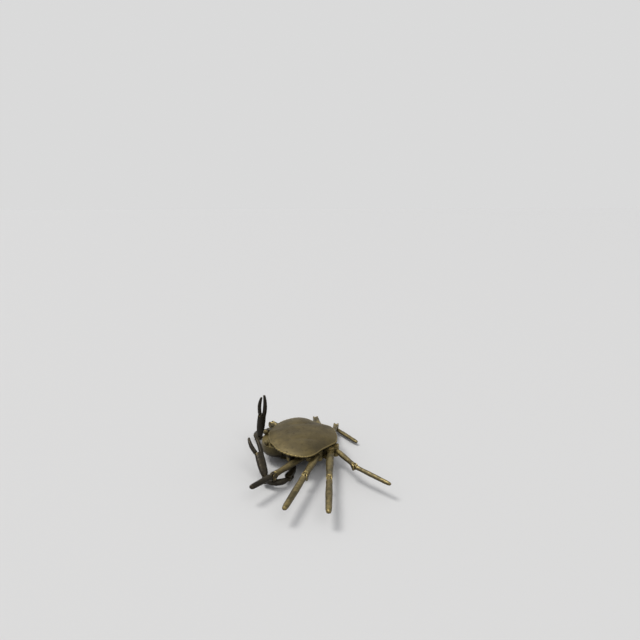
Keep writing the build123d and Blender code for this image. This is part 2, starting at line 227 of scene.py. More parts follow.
def closed_grid(rings):
    """Points, quads and end fans of a tube made of rings whose columns join round.

    Each quad joins a point, the one beside it and the two above them. A fan on the ring's middle closes
    each end.
    """
    rows, columns = rings.shape[:2]
    points = np.concatenate([rings.reshape(-1, 3), rings[:1].mean(axis=1), rings[-1:].mean(axis=1)])
    here = np.arange(rows * columns).reshape(rows, columns)
    beside = np.roll(here, -1, axis=1)
    quads = np.stack([here[:-1], beside[:-1], beside[1:], here[1:]], axis=2).reshape(-1, 4)
    middle = np.full(columns, rows * columns)
    first_fan = np.stack([middle, beside[0], here[0]], axis=1)
    last_fan = np.stack([middle + 1, here[-1], beside[-1]], axis=1)
    return points, quads, np.concatenate([first_fan, last_fan])


def limb_rings(middle, side, top, width, height, ridge):
    """Rings round a limb's middle line.

    At each station the ring is an oval with squared shoulders: across by the cosine, up by the sine, each
    raised to a power under 1. A narrow ridge stands on top, as a high power of the sine, and fine ripples
    of a few sines make the surface uneven, as a casting is.
    """
    angle = np.linspace(0, 2 * math.pi, ring_points, endpoint=False)[None, :]
    station = np.linspace(0, 1, len(middle))[:, None]
    across = np.sign(np.cos(angle)) * np.abs(np.cos(angle)) ** across_power
    rise = np.sign(np.sin(angle)) * np.abs(np.sin(angle)) ** rise_power
    crest = np.maximum(np.sin(angle), 0) ** ridge_power
    ripple = 1 + sum(share * np.sin(along * station + around * angle)
                     for share, along, around in ripple_shares)
    y = width[:, None] / 2 * across * ripple
    z = height[:, None] / 2 * rise * ripple + ridge * crest
    return middle[:, None, :] + side[:, None, :] * y[..., None] + top[:, None, :] * z[..., None]


def limb_surface(line, shape, width, height, ridge, tones=(0.0, 0.0), blunt=limb_blunt_share):
    """One limb's surface and tone: rings carried along its middle line, with rounded ends.

    The rings lie evenly, drawn towards both ends by a share of a cosine. An end is a quarter of an oval.
    """
    middle, side, top = line
    length = np.linalg.norm(np.diff(middle, axis=0), axis=1).sum()
    even = np.linspace(0, 1, len(middle))
    along = (1 - np.cos(math.pi * even)) / 2 * crowding_share + even * (1 - crowding_share)
    middle, side, top = (np.stack([np.interp(along, even, rows[:, k]) for k in range(3)], axis=1)
                         for rows in (middle, side, top))
    wide = width * smooth_curve([(row[0], row[1]) for row in shape], along)
    high = height * smooth_curve([(row[0], row[2]) for row in shape], along)
    reach = np.clip(np.minimum(along, 1 - along) * length / (blunt * wide.min()), 0, 1)
    cap = np.sqrt(1 - (1 - reach) ** 2)
    cap[[0, -1]] = end_ring_share
    rings = limb_rings(middle, side, top, wide * cap, high * cap, ridge)
    tone = np.interp(along, [0, 1], tones)[:, None] * np.ones(rings.shape[1])
    return rings, np.concatenate([tone.ravel(), tones])


def turned_outline(shares, reach):
    """A closed outline about a pin, forward and up: its reach at each angle, smoothed over five points."""
    angle = np.radians(np.linspace(-180, 180, outline_points, endpoint=False))
    distance = reach * np.interp(np.degrees(angle), [row[0] for row in shares], [row[1] for row in shares])
    window = np.hanning(5) / np.hanning(5).sum()
    distance = np.convolve(np.concatenate([distance[-2:], distance, distance[:2]]), window, mode="valid")
    return np.stack([distance * np.cos(angle), distance * np.sin(angle)], axis=1)


def plate_rings(outline, origin, forward, above, across, low, high, bevel):
    """A plate with rounded edges: its outline carried across, drawn in by a quarter circle at each face."""
    turn = np.linspace(0, math.pi / 2, bevel_rings)
    into, inset = bevel * (1 - np.cos(turn)), bevel * (1 - np.sin(turn))
    level = np.concatenate([low + into, (high - into)[::-1]])
    inset = np.concatenate([inset, inset[::-1]])
    middle = outline.mean(axis=0)
    radius = np.linalg.norm(outline - middle, axis=1).mean()
    flat = middle + (outline - middle)[None] * (1 - inset / radius)[:, None, None]
    return origin + flat[..., :1] * forward + flat[..., 1:] * above + level[:, None, None] * across


def arc_line(start, end, bulge_way, bulge, along):
    """A circular arc between two places: its points and the unit headings along it."""
    chord = np.linalg.norm(end - start)
    forward = (end - start) / chord
    half = 2 * math.atan2(2 * bulge, chord)
    radius = chord / (2 * math.sin(half))
    angle = half - 2 * half * along
    x = chord / 2 - radius * np.sin(angle)
    y = radius * (np.cos(angle) - math.cos(half))
    points = start + x[:, None] * forward + y[:, None] * bulge_way
    headings = np.cos(angle)[:, None] * forward + np.sin(angle)[:, None] * bulge_way
    return points, headings


def fall_share(along):
    """How much of its slope a limb has fallen: half a cosine wave between two places."""
    run = np.clip((along - fall_start_share) / fall_length_share, 0, 1)
    return (1 - np.cos(math.pi * run)) / 2


# Shader expressions


class Socket:
    """A shader value whose operators add the Math nodes that work it out."""

    def __init__(self, shader, link):
        self.shader = shader
        self.link = link

    def math(self, operation, first, second):
        """The output of one Math node."""
        return self.shader.node("ShaderNodeMath", {"operation": operation}, {0: first, 1: second})[0]

    def __add__(self, other):
        return self.math("ADD", self, other)

    def __radd__(self, other):
        return self.math("ADD", other, self)

    def __sub__(self, other):
        return self.math("SUBTRACT", self, other)

    def __mul__(self, other):
        return self.math("MULTIPLY", self, other)

    def clamped(self):
        """The value held between 0 and 1."""
        return self.math("MAXIMUM", self.math("MINIMUM", self, 1.0), 0.0)


class Shader:
    """A material built from nodes that this class adds and links."""

    def __init__(self, name):
        self.material = bpy.data.materials.new(name)
        self.material.use_nodes = True
        self.tree = self.material.node_tree
        self.tree.nodes.clear()
        self.output = self.tree.nodes.new("ShaderNodeOutputMaterial")

    def node(self, kind, settings, inputs):
        """Add a node with its settings and its inputs' values or links, and give its outputs as sockets."""
        made = self.tree.nodes.new(kind)
        for name, value in settings.items():
            setattr(made, name, value)
        for key, value in inputs.items():
            if isinstance(value, Socket):
                self.tree.links.new(value.link, made.inputs[key])
            elif value is not None:
                made.inputs[key].default_value = value
        return [Socket(self, output) for output in made.outputs]

    def place(self):
        """Where a point of the piece lies, in metres."""
        return self.node("ShaderNodeTexCoord", {}, {})[3]

    def noise(self, place, scale, detail, rough):
        """Soft random blotches, from 0 to 1."""
        sockets = {"Vector": place, "Scale": scale, "Detail": detail, "Roughness": rough}
        return self.node("ShaderNodeTexNoise", {}, sockets)[0]

    def ramp(self, value, low, high):
        """The value stretched so that low becomes 0 and high becomes 1, held between them."""
        return self.node("ShaderNodeMapRange", {}, {0: value, 1: low, 2: high, 3: 0.0, 4: 1.0})[0]

    def mix(self, share, first, second):
        """Two colours mixed by a share."""
        return self.node("ShaderNodeMix", {"data_type": "RGBA"}, {0: share, 6: first, 7: second})[2]

    def facing_up(self):
        """From 0 on a face that looks down to 1 on one that looks up, as the piece lies at rest."""
        normal = self.node("ShaderNodeTexCoord", {}, {})[1]
        height = self.node("ShaderNodeSeparateXYZ", {}, {0: normal})[2]
        return height * 0.5 + 0.5

    def worn_edge(self):
        """How far a convex edge stands out, from 0 to 1."""
        pointiness = self.node("ShaderNodeNewGeometry", {}, {})[7]
        return self.ramp(pointiness, low=0.50, high=0.56)

    def tone(self):
        """How dark a piece's own points are, partly as painted shade, or, where it is negative, how bare, with a
        painted highlight.
        """
        return self.node("ShaderNodeAttribute", {"attribute_name": "tone"}, {})[2]

    def close(self, surface):
        """The finished material, with this surface."""
        self.tree.links.new(surface.link, self.output.inputs["Surface"])
        return self.material


def rgba(colour):
    """A colour triple with full opacity."""
    return (*colour, 1.0)


def aged_brass(name, patina, metal, dark, wear_and_highlight, roughness, top_light, grain, painted_edge=False):
    """Cast brass: mottled patina, bare metal on edges, bare metal with a painted highlight on tops, painted shade
    below, and fine casting grain.

    A painted edge is bare, with a painted highlight, where the piece's own tone is negative, instead of on every
    convex edge.
    """
    shader = Shader(name)
    place = shader.place()
    blotch = shader.noise(place, scale=130.0, detail=4.0, rough=0.6)
    cloud = shader.noise(place, scale=45.0, detail=3.0, rough=0.55)
    speck = shader.noise(place, scale=1100.0, detail=2.0, rough=0.6)
    pit = shader.ramp(shader.noise(place, scale=420.0, detail=1.0, rough=0.5), low=0.60, high=0.74)
    # Painted highlight: faces that look up at rest, in random patches, turn to bare metal, scaled by top_light;
    # with the rubbed edges this makes the shine
    rub = shader.ramp(blotch + (cloud - 0.5) * 0.7, low=0.40, high=0.68)
    top = shader.ramp(shader.facing_up(), low=0.80, high=0.99)
    edge = (shader.tone() * -1.0).clamped() if painted_edge else shader.worn_edge()
    base = shader.mix(shader.ramp(cloud, low=0.30, high=0.62), rgba(dark), rgba(patina))
    base = shader.mix(0.55, base, rgba(patina))
    shine = ((edge * 0.7 + top * rub * top_light) * wear_and_highlight).clamped()
    colour = shader.mix(shine, base, rgba(metal))
    # Painted shade: faces that look down at rest are darkened towards the dark colour
    upper = shader.ramp(shader.facing_up(), low=0.15, high=0.72)
    colour = shader.mix(upper, rgba(dark), colour)
    # The piece's tone adds painted shade or its own darker patina, and the pits add dark dirt
    colour = shader.mix((shader.tone() + pit * 0.35).clamped(), colour, rgba(dark))
    rough = (roughness + (speck - 0.5) * 0.2 - shine * 0.12 + pit * 0.1).clamped()
    height = blotch * 0.5 + speck * 0.5 - pit * 0.6
    sockets = {"Strength": grain, "Distance": grain_depth, "Height": height}
    bump = shader.node("ShaderNodeBump", {}, sockets)[0]
    metallic = (shine * 0.45 + 0.5).clamped()
    sockets = {"Base Color": colour, "Metallic": metallic, "Roughness": rough, "Normal": bump}
    return shader.close(shader.node("ShaderNodeBsdfPrincipled", {}, sockets)[0])


# Settings


class CrabFinish(bpy.types.PropertyGroup):
    """Colours of the crab's finish."""

    shell_colour: bpy.props.FloatVectorProperty(
        name="Shell patina", description="Olive patina of the shell", subtype="COLOR",
        default=(0.135, 0.100, 0.034), min=0.0, max=1.0)
    # Patina of the face and the belly, darkened further as painted shade for where they lie under the shell
    body_patina_and_shade_colour: bpy.props.FloatVectorProperty(
        name="Body patina", description="Dark olive patina of the face and the belly", subtype="COLOR",
        default=(0.080, 0.062, 0.024), min=0.0, max=1.0)
    leg_colour: bpy.props.FloatVectorProperty(
        name="Leg patina", description="Patina of the legs", subtype="COLOR",
        default=(0.080, 0.061, 0.020), min=0.0, max=1.0)
    # Bare metal on rubbed edges, and also the colour of the painted highlights on tops and on the rim
    metal_colour: bpy.props.FloatVectorProperty(
        name="Bare brass", description="Bare metal where the patina is rubbed off", subtype="COLOR",
        default=(0.480, 0.370, 0.150), min=0.0, max=1.0)
    # Painted shade on undersides, inside the shell and on its posts, and also dirt in the mottling and the pits
    shade_and_dirt_colour: bpy.props.FloatVectorProperty(
        name="Hollows", description="Dirt on undersides and in hollows", subtype="COLOR",
        default=(0.024, 0.018, 0.009), min=0.0, max=1.0)
    claw_colour: bpy.props.FloatVectorProperty(
        name="Claw patina", description="Brown black patina of the arms and claws", subtype="COLOR",
        default=(0.016, 0.012, 0.007), min=0.0, max=1.0)
    # Brown metal on rubbed claw edges, and the colour of the painted highlights on their tops
    claw_rub_and_highlight_colour: bpy.props.FloatVectorProperty(
        name="Claw highlights", description="Brown metal where the claws are rubbed", subtype="COLOR",
        default=(0.095, 0.076, 0.042), min=0.0, max=1.0)
    floor_colour: bpy.props.FloatVectorProperty(
        name="Floor", description="Pale floor below the crab", subtype="COLOR",
        default=(0.72, 0.71, 0.69), min=0.0, max=1.0)


class CrabSizes(bpy.types.PropertyGroup):
    """Sizes of the pieces that dress the crab."""

    dome_height: bpy.props.FloatProperty(
        name="Dome height", description="Height of the shell above its rim", unit="LENGTH", default=0.0060)
    shell_wall: bpy.props.FloatProperty(
        name="Shell wall", description="Thickness of the shell", unit="LENGTH", default=0.0016)
    tooth_depth: bpy.props.FloatProperty(
        name="Tooth depth", description="How far the rim's teeth stand out", unit="LENGTH", default=0.0007)
    tooth_count: bpy.props.IntProperty(
        name="Teeth", description="Teeth on each front side of the rim", default=11, min=1)
    # The beads are painted highlights round the rim, not shapes
    bead_count: bpy.props.IntProperty(
        name="Beads", description="Rubbed beads round the rim", default=130, min=1)
    # The rim's bare band is rubbed metal and also a painted highlight
    rim_polish_and_highlight: bpy.props.FloatProperty(
        name="Rim polish", description="How bare the rim's edge is", default=1.0, min=0.0, max=1.0)
    lip_height: bpy.props.FloatProperty(
        name="Lip height", description="Height of the lip round the rim", unit="LENGTH", default=0.0007)
    post_radius: bpy.props.FloatProperty(
        name="Post radius", description="Radius of a post inside the shell", unit="LENGTH", default=0.0027)
    post_drop: bpy.props.FloatProperty(
        name="Post drop", description="How far a post reaches below the rim", unit="LENGTH", default=0.0011)
    post_rise: bpy.props.FloatProperty(
        name="Post rise", description="How far a post reaches above the rim", unit="LENGTH", default=0.0042)
    thigh_width: bpy.props.FloatProperty(
        name="Thigh width", description="Width of a thigh", unit="LENGTH", default=0.0058)
    thigh_height: bpy.props.FloatProperty(
        name="Thigh height", description="Height of a thigh", unit="LENGTH", default=0.0040)
    shin_width: bpy.props.FloatProperty(
        name="Shin width", description="Width of a shin", unit="LENGTH", default=0.0050)
    shin_height: bpy.props.FloatProperty(
        name="Shin height", description="Height of a shin", unit="LENGTH", default=0.0034)
    knee_drop: bpy.props.FloatProperty(
        name="Knee drop", description="How far a knee pin lies below its limb's middle", unit="LENGTH",
        default=0.0022)
    limb_start: bpy.props.FloatProperty(
        name="Limb start", description="Where a thigh leaves its hip lug", unit="LENGTH", default=0.0026)
    slot_reach: bpy.props.FloatProperty(
        name="Slot reach", description="How far a knee's slot goes back from its pin", unit="LENGTH",
        default=0.0022)
    slot_half: bpy.props.FloatProperty(
        name="Slot half", description="Half the width of a knee's slot", unit="LENGTH", default=0.0011)
    fork_half: bpy.props.FloatProperty(
        name="Fork half", description="Half the width over a knee's ears", unit="LENGTH", default=0.0023)
    tongue_half: bpy.props.FloatProperty(
        name="Tongue half", description="Half the width of a knee's tongue", unit="LENGTH", default=0.00095)
    lug_radius: bpy.props.FloatProperty(
        name="Lug radius", description="Radius of a hip lug", unit="LENGTH", default=0.0033)
    lug_half: bpy.props.FloatProperty(
        name="Lug half", description="Half the height of a hip lug", unit="LENGTH", default=0.0021)
    shin_start: bpy.props.FloatProperty(
        name="Shin start", description="Where a shin leaves its tongue", unit="LENGTH", default=0.0026)
    arm_width: bpy.props.FloatProperty(
        name="Arm width", description="Width of an upper arm", unit="LENGTH", default=0.0054)
    arm_height: bpy.props.FloatProperty(
        name="Arm height", description="Height of an upper arm", unit="LENGTH", default=0.0042)
    arm_bulge: bpy.props.FloatProperty(
        name="Arm bulge", description="How far an upper arm bows", unit="LENGTH", default=0.0025)
    forearm_width: bpy.props.FloatProperty(
        name="Forearm width", description="Width of a forearm", unit="LENGTH", default=0.0052)
    forearm_bulge: bpy.props.FloatProperty(
        name="Forearm bulge", description="How far a forearm bows", unit="LENGTH", default=0.0070)
    palm_width: bpy.props.FloatProperty(
        name="Palm width", description="Width of a palm", unit="LENGTH", default=0.0070)
    palm_height: bpy.props.FloatProperty(
        name="Palm height", description="Thickness of a palm", unit="LENGTH", default=0.0042)
    palm_length: bpy.props.FloatProperty(
        name="Palm length", description="From the wrist to the fingers", unit="LENGTH", default=0.0240)
    claw_length: bpy.props.FloatProperty(
        name="Claw length", description="From the wrist to the fixed finger's tip", unit="LENGTH",
        default=0.0420)
    claw_bow: bpy.props.FloatProperty(
        name="Claw bow", description="How far the fingers bow", unit="LENGTH", default=0.0012)
    finger_width: bpy.props.FloatProperty(
        name="Finger width", description="Width of a finger", unit="LENGTH", default=0.0032)
    finger_height: bpy.props.FloatProperty(
        name="Finger height", description="Thickness of a finger", unit="LENGTH", default=0.0034)
    finger_lap: bpy.props.FloatProperty(
        name="Finger lap", description="How far the fixed finger starts inside the palm", unit="LENGTH",
        default=0.0030)
    tip_offset: bpy.props.FloatProperty(
        name="Tip offset", description="From the claw's middle line to the fixed finger's tip",
        unit="LENGTH", default=0.0004)
    tip_cover: bpy.props.FloatProperty(
        name="Tip cover", description="How far a skin reaches past its finger's tip", unit="LENGTH",
        default=0.0004)
    ridge: bpy.props.FloatProperty(
        name="Ridge", description="Height of the ridge along a limb's top", unit="LENGTH", default=0.0003)
    lug_bevel: bpy.props.FloatProperty(
        name="Lug bevel", description="Rounding of a hip lug's edges", unit="LENGTH", default=0.0005)
    ear_bevel: bpy.props.FloatProperty(
        name="Ear bevel", description="Rounding of a knee ear's edges", unit="LENGTH", default=0.0006)
    fine_bevel: bpy.props.FloatProperty(
        name="Fine bevel", description="Rounding of a tongue's and a post's edges", unit="LENGTH",
        default=0.0003)


class CrabStage(bpy.types.PropertyGroup):
    """Where the camera and the floor stand, and the light from all round."""

    camera_place: bpy.props.FloatVectorProperty(
        name="Camera place", description="Where the camera stands", subtype="TRANSLATION",
        unit="LENGTH", default=(0.4784, -0.0357, 0.2258))
    camera_heading: bpy.props.FloatProperty(
        name="Camera heading", description="Turn from straight across the crab", subtype="ANGLE",
        unit="ROTATION", default=math.radians(6.0))
    camera_pitch: bpy.props.FloatProperty(
        name="Camera pitch", description="How far the camera looks down", subtype="ANGLE",
        unit="ROTATION", default=math.radians(12.5))
    lens: bpy.props.FloatProperty(
        name="Lens", description="Focal length on a sensor 36 mm wide", default=33.75)
    floor_half: bpy.props.FloatProperty(
        name="Floor half width", description="Half the floor's width", unit="LENGTH", default=6.0)
    sky_colour: bpy.props.FloatVectorProperty(
        name="Sky colour", description="Colour of the soft light from all round", subtype="COLOR",
        default=(0.93, 0.95, 1.0), min=0.0, max=1.0)
    sky_strength: bpy.props.FloatProperty(
        name="Sky strength", description="Strength of the soft light from all round", default=0.5, min=0.0)
    background_colour: bpy.props.FloatVectorProperty(
        name="Background", description="Colour that the camera sees past the floor", subtype="COLOR",
        default=(0.702, 0.702, 0.702), min=0.0, max=1.0)


def look():
    """The crab's colours."""
    return bpy.context.scene.crab_finish


def sizes():
    """The crab's sizes."""
    return bpy.context.scene.crab_sizes


# Finishes


def shell_brass():
    """Dull olive patina of the shell, rubbed bare and with a painted highlight on the rim alone, with painted
    shade on its inside and its posts.
    """
    finish = look()
    return aged_brass("ShellBrass", finish.shell_colour, finish.metal_colour, finish.shade_and_dirt_colour,
                      wear_and_highlight=1.0, roughness=0.52, top_light=0.10, grain=0.22, painted_edge=True)


def body_brass():
    """Olive patina of the face and what lies under the shell, darker than the shell's as painted shade."""
    finish = look()
    return aged_brass("BodyBrass", finish.body_patina_and_shade_colour, finish.metal_colour, finish.shade_and_dirt_colour,
                      wear_and_highlight=0.8, roughness=0.50, top_light=0.3, grain=0.35)


def leg_brass():
    """Patina of the legs, rubbed bare along their tops, where a highlight is also painted."""
    finish = look()
    return aged_brass("LegBrass", finish.leg_colour, finish.metal_colour, finish.shade_and_dirt_colour,
                      wear_and_highlight=1.0, roughness=0.42, top_light=0.75, grain=0.35)


def claw_brass():
    """Brown black patina of the arms, with brown edges and a painted brown highlight on their tops."""
    finish = look()
    return aged_brass("ClawBrass", finish.claw_colour, finish.claw_rub_and_highlight_colour, finish.claw_colour,
                      wear_and_highlight=1.0, roughness=0.42, top_light=0.6, grain=0.35)


def pin_brass():
    """The brightest brass, on rivets and screws, with the strongest painted highlight on their tops."""
    finish = look()
    return aged_brass("PinBrass", finish.leg_colour, finish.metal_colour, finish.shade_and_dirt_colour,
                      wear_and_highlight=1.0, roughness=0.36, top_light=1.0, grain=0.2)


def paint(names, material):
    """Give each named CAD node one material."""
    for name in names:
        mesh = frame["nodes"][name].data
        mesh.materials.clear()
        mesh.materials.append(material)


def slot_nodes(slot):
    """Names of the CAD nodes with this slot in the record."""
    return [part["node"] for part in frame["record"]["subparts"] if part["material_slot"] == slot]


# Shell


def rim_outline():
    """The rim of the shell: its height, and its reach at evenly spaced angles as a sum of a few waves."""
    points = node_points("carapace")
    low = points[np.argmax(np.abs(points[:, 0])), 2]
    edge = points[np.abs(points[:, 2] - low) < rim_band]
    angle = np.arctan2(edge[:, 1], edge[:, 0])
    reach = np.hypot(edge[:, 0], edge[:, 1])
    bins = np.linspace(-math.pi, math.pi, rim_points, endpoint=False)
    turn = (angle - bins[:, None] + math.pi) % (2 * math.pi) - math.pi
    outer = np.where(np.abs(turn) < 2 * (bins[1] - bins[0]), reach, 0).max(axis=1)
    known = outer > 0
    outer = np.interp(bins, bins[known], outer[known], period=2 * math.pi)
    waves = np.fft.rfft(outer)
    waves[rim_waves:] = 0
    return low, bins, np.fft.irfft(waves, rim_points)


def rim_teeth(angle, depth, count):
    """Teeth on both front sides: a sawtooth in the angle, faded in and out over the toothed stretch."""
    away = np.abs(np.arctan2(np.cos(angle), -np.sin(angle)))
    start, end = np.radians(toothed_angles)
    run = (away - start) / (end - start)
    inside = np.clip(np.minimum(run, 1 - run) * tooth_fade, 0, 1)
    saw = (run * count) % 1.0
    return depth * inside * (1 - np.abs(2 * saw - 1)) ** tooth_power


def relief_bump(x, y, height, apart, wide, lean, place, deep, tilt):
    """A bump on both sides of the shell: its height times a Gaussian across and a Gaussian along."""
    across = (np.abs(x) - apart - lean * y) / wide
    along = (y - place + tilt * np.abs(x)) / deep
    return height * np.exp(-across ** 2 - along ** 2)


def shell_height(share, x, y, height):
    """Height of the shell over its rim.

    The dome is 1 minus the share of the way out to a power, raised to a smaller power. Grooves and bosses
    over the gut and the gills are a sum of bumps, which fades near the rim.
    """
    rise = height * np.maximum(1 - share ** dome_power, 0) ** dome_fullness
    shape = sum(relief_bump(x, y, *bump) for bump in shell_relief.values())
    return rise + shape * np.clip((1 - share) * relief_fade, 0, 1)


class CRAB_OT_shell(bpy.types.Operator):
    """Make the domed shell with its toothed rim and its two posts"""

    bl_idname = "crab.shell"
    bl_label = "Make the shell"

    def execute(self, context):
        rim, angle, reach = rim_outline()
        crown = np.linspace(*crown_shares, crown_rings)
        edge = np.linspace(*edge_shares, edge_rings)
        share = np.concatenate([crown, edge])[:, None]
        top = self.top(rim, angle, reach, share)
        surface = np.concatenate([top, self.hollow(rim, angle, reach)])
        # Painted shade darkens the shell's inside; the top takes the rim's bare band with its painted highlight
        tone = np.full(surface.shape[:2], hollow_shade_tone)
        tone[:len(top)] = self.rim_bare_and_highlight(angle, share)
        tone = np.concatenate([tone.ravel(), (0.0, hollow_shade_tone)])
        surfaces = [(surface, tone)] + self.posts(rim)
        shell = add_piece("shell", surfaces, "body", shell_brass())
        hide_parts("carapace")
        return {"FINISHED"}

    def top(self, rim, angle, reach, share):
        """The outer surface: a dome over the rim's outline, with teeth and a Gaussian lip at its edge."""
        size = sizes()
        teeth = rim_teeth(angle, size.tooth_depth, size.tooth_count)
        out = share * (reach + teeth * np.clip((share - tooth_root_share) / (1 - tooth_root_share), 0, 1))
        x, y = out * np.cos(angle), out * np.sin(angle)
        lip = size.lip_height * np.exp(-((share - lip_share) / lip_spread_share) ** 2)
        z = rim + shell_height(share, x, y, size.dome_height) + lip * np.clip(share * 2 - 1, 0, 1)
        return np.stack([x, y, z], axis=2)

    def hollow(self, rim, angle, reach):
        """The inner surface: a lower dome inside the rim, from its edge to its middle."""
        size = sizes()
        share = np.linspace(*hollow_shares, hollow_rings)[:, None]
        x, y = share * reach * np.cos(angle), share * reach * np.sin(angle)
        dome = np.maximum(1 - (share / hollow_reach_share) ** hollow_power, 0) ** hollow_fullness
        z = rim + (size.dome_height - size.shell_wall) * dome
        return np.stack([x, y, np.broadcast_to(z, x.shape)], axis=2)

    def rim_bare_and_highlight(self, angle, share):
        """How bare the rim's edge is, below 0, partly rubbed metal and partly a painted highlight: a Gaussian of
        the way out, beaded by a sine of the angle.
        """
        size = sizes()
        bead = bead_level_share + (1 - bead_level_share) * np.sin(angle * size.bead_count)
        return -size.rim_polish_and_highlight * bead * np.exp(-((share - polish_share) / polish_spread_share) ** 2)

    def posts(self, rim):
        """Two round posts inside the shell, each a circle carried upwards, over the body screws."""
        size = sizes()
        screws = node_points("body_screws")
        circle = turned_outline(round_outline_shares, size.post_radius)
        posts = []
        for side in (-1, 1):
            middle = screws[screws[:, 1] * side > 0].mean(axis=0)
            middle[2] = rim
            rings = plate_rings(circle, middle, np.array((1.0, 0, 0)), np.array((0, 1.0, 0)), up,
                                -size.post_drop, size.post_rise, size.fine_bevel)
            # Painted shade darkens the posts under the shell
            posts.append((rings, post_shade_tone))
        return posts


class CRAB_OT_body(bpy.types.Operator):
    """Dress the belly, the hip plate, the face, the eyes, the tail flap, the rivets and the screws"""

    bl_idname = "crab.body"
    bl_label = "Dress the body"

    def execute(self, context):
        paint(slot_nodes("body_brass"), body_brass())
        paint(slot_nodes("pin_brass"), pin_brass())
        return {"FINISHED"}


# Limbs


def thigh_line(leg, share):
    """A thigh's middle line from its lug to its fork, its ways across and up, and its way forward."""
    size = sizes()
    hip, knee = place_of(f"{leg}_hip"), place_of(f"{leg}_knee")
    flat = knee + up * size.knee_drop * share - hip
    fall = -flat[2]
    flat[2] = 0
    length = np.linalg.norm(flat)
    forward = flat / length
    along = np.linspace(size.limb_start / length, 1 - size.slot_reach / length, leg_rings)
    middle = hip + along[:, None] * flat - (fall * fall_share(along))[:, None] * up
    side = np.cross(up, forward)
    return (middle, np.tile(side, (leg_rings, 1)), np.tile(up, (leg_rings, 1))), forward


def hip_lug(leg, forward):
    """The round lug in the hip slot, a circle carried upwards, and its tone."""
    size = sizes()
    circle = turned_outline(round_outline_shares, size.lug_radius)
    rings = plate_rings(circle, place_of(f"{leg}_hip"), forward, np.cross(up, forward), up,
                        -size.lug_half, size.lug_half, size.lug_bevel)
    return rings, 0.0


def knee_ears(leg, forward, share, tone):
    """The two ears of a knee's fork, beside the slot for the tongue, and their tone."""
    size = sizes()
    outline = turned_outline(ear_outline_shares, size.knee_drop * share)
    side = np.cross(up, forward)
    ears = []
    for way in (-1, 1):
        rings = plate_rings(outline, place_of(f"{leg}_knee"), forward, up, side * way, size.slot_half,
                            size.fork_half, size.ear_bevel)
        ears.append((rings, tone))
    return ears


def tip_of(points, pivot):
    """The middle of the end of a node that lies farthest from a pivot."""
    way = points[np.argmax(np.linalg.norm(points - pivot, axis=1))] - pivot
    along = (points - pivot) @ unit(way)
    return points[along > along.max() - tip_band].mean(axis=0)


def shin_line(leg, share):
    """A shin's middle line from its tongue to its tip, its ways across and up, and the tongue's rings."""
    size = sizes()
    pin = place_of(f"{leg}_knee")
    hinge = np.array(joints[f"{leg}_knee"]["axis"])
    points = node_points(f"{leg}_shin")
    tip = tip_of(points, pin)
    flat = tip - pin
    flat = flat - hinge * (flat @ hinge)
    drop = size.knee_drop * share
    above = np.cross(hinge, unit(flat))
    if (points.mean(axis=0) - pin) @ above < 0:
        above = -above
    slope = math.asin(drop / np.linalg.norm(flat))
    forward = unit(flat) * math.cos(slope) - above * math.sin(slope)
    above = above * math.cos(slope) + unit(flat) * math.sin(slope)
    start = pin + forward * size.shin_start * share + above * drop
    middle = start + np.linspace(0, 1, leg_rings)[:, None] * (tip - start)
    side = np.cross(above, unit(tip - start))
    outline = turned_outline(tongue_outline_shares, drop)
    tongue = plate_rings(outline, pin, forward, above, np.cross(above, forward), -size.tongue_half,
                         size.tongue_half, size.fine_bevel)
    return (middle, np.tile(side, (leg_rings, 1)), np.tile(above, (leg_rings, 1))), tongue


class CRAB_OT_legs(bpy.types.Operator):
    """Dress the eight legs, each a thigh and a shin"""

    bl_idname = "crab.legs"
    bl_label = "Dress the legs"

    def execute(self, context):
        legs, claws = leg_brass(), claw_brass()
        for word in sides:
            for number, share in enumerate(leg_size_shares, start=1):
                leg = f"{word}_leg_{number}"
                dark = leg == "left_leg_1"
                slot, material = ("dark_brass", claws) if dark else ("leg_brass", legs)
                self.add_thigh(leg, share, dark, legs)
                self.add_shin(leg, share, slot, material)
        return {"FINISHED"}

    def add_thigh(self, leg, share, dark, material):
        """A thigh with its hip lug and its knee's two ears, darker towards the knee on a dark leg."""
        size = sizes()
        line, forward = thigh_line(leg, share)
        surfaces = knee_ears(leg, forward, share, dark_ear_tone * dark) + [hip_lug(leg, forward)]
        surfaces.append(limb_surface(line, thigh_shape_shares, size.thigh_width * share,
                                     size.thigh_height * share, size.ridge, (0.0, dark_thigh_tone * dark),
                                     thigh_blunt_share))
        thigh = add_piece(f"{leg}_cast_thigh", surfaces, f"{leg}_thigh", material)
        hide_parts(f"{leg}_thigh")

    def add_shin(self, leg, share, slot, material):
        """A shin with the tongue that turns in its knee's fork."""
        size = sizes()
        line, tongue = shin_line(leg, share)
        surfaces = [(tongue, 0.0), limb_surface(line, shin_shape_shares, size.shin_width * share,
                                                size.shin_height * share, size.ridge)]
        shin = add_piece(f"{leg}_cast_shin", surfaces, f"{leg}_shin", material)
        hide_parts(f"{leg}_shin")


def claw_frame(word):
    """A claw's wrist and knuckle, and its ways forward, across and up."""
    wrist, knuckle = place_of(f"{word}_wrist"), place_of(f"{word}_finger_joint")
    top = np.array(joints[f"{word}_finger_joint"]["axis"])
    tip = tip_of(node_points(f"{word}_palm"), wrist)
    forward = tip - wrist
    forward = unit(forward - top * (forward @ top))
    side = np.cross(top, forward)
    if (knuckle - wrist) @ side < 0:
        side = -side
    return wrist, knuckle, forward, side, top


